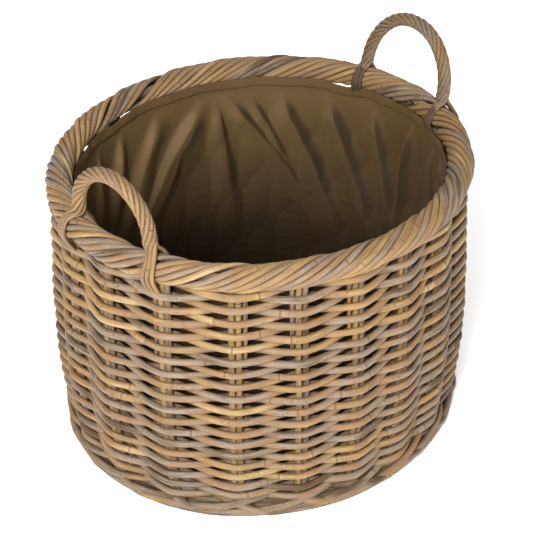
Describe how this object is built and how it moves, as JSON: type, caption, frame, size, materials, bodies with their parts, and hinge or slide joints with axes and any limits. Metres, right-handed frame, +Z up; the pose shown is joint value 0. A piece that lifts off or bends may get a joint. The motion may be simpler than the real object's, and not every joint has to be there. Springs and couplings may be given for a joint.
{
  "type": "log basket",
  "caption": "Lined, slightly oval log basket woven from whole rattan rods, with a rope border, a plaited foot and a rope ear handle at each end.",
  "frame": {"origin": "on the floor under the middle of the basket", "axes": "+Z up, out of the mouth; the two handles lie on the X axis"},
  "size_m": [0.5264, 0.4854, 0.4414],
  "materials": {
    "rattan_weave": "satin",
    "rattan_stakes": "satin",
    "rattan_border": "satin",
    "rattan_handles": "satin",
    "rattan_foot": "satin",
    "liner_cloth": "matte"
  },
  "bodies": {
    "root": {"stake_pair_01": "rattan_stakes", "stake_pair_02": "rattan_stakes", "stake_pair_03": "rattan_stakes", "stake_pair_04": "rattan_stakes", "stake_pair_05": "rattan_stakes", "stake_pair_06": "rattan_stakes", "stake_pair_07": "rattan_stakes", "stake_pair_08": "rattan_stakes", "stake_pair_09": "rattan_stakes", "stake_pair_10": "rattan_stakes", "stake_pair_11": "rattan_stakes", "stake_pair_12": "rattan_stakes", "stake_pair_13": "rattan_stakes", "stake_pair_14": "rattan_stakes", "stake_pair_15": "rattan_stakes", "stake_pair_16": "rattan_stakes", "stake_pair_17": "rattan_stakes", "stake_pair_18": "rattan_stakes", "stake_pair_19": "rattan_stakes", "stake_pair_20": "rattan_stakes", "stake_pair_21": "rattan_stakes", "rim_core_hoop": "rattan_stakes", "weaver_01": "rattan_weave", "weaver_02": "rattan_weave", "weaver_03": "rattan_weave", "weaver_04": "rattan_weave", "weaver_05": "rattan_weave", "weaver_06": "rattan_weave", "weaver_07": "rattan_weave", "weaver_08": "rattan_weave", "weaver_09": "rattan_weave", "weaver_10": "rattan_weave", "weaver_11": "rattan_weave", "weaver_12": "rattan_weave", "weaver_13": "rattan_weave", "weaver_14": "rattan_weave", "weaver_15": "rattan_weave", "weaver_16": "rattan_weave", "weaver_17": "rattan_weave", "weaver_18": "rattan_weave", "base_stick_lower_1": "rattan_foot", "base_stick_lower_2": "rattan_foot", "base_stick_lower_3": "rattan_foot", "base_stick_lower_4": "rattan_foot", "base_stick_upper_1": "rattan_foot", "base_stick_upper_2": "rattan_foot", "base_stick_upper_3": "rattan_foot", "base_stick_upper_4": "rattan_foot", "base_weave_lower": "rattan_foot", "base_weave_upper": "rattan_foot", "foot_border": "rattan_foot", "rim_rope_border": "rattan_border", "handle_left": "rattan_handles", "handle_right": "rattan_handles", "liner_side_panel": "liner_cloth", "liner_bottom_panel": "liner_cloth", "liner_hem": "liner_cloth"}
  },
  "joints": []
}
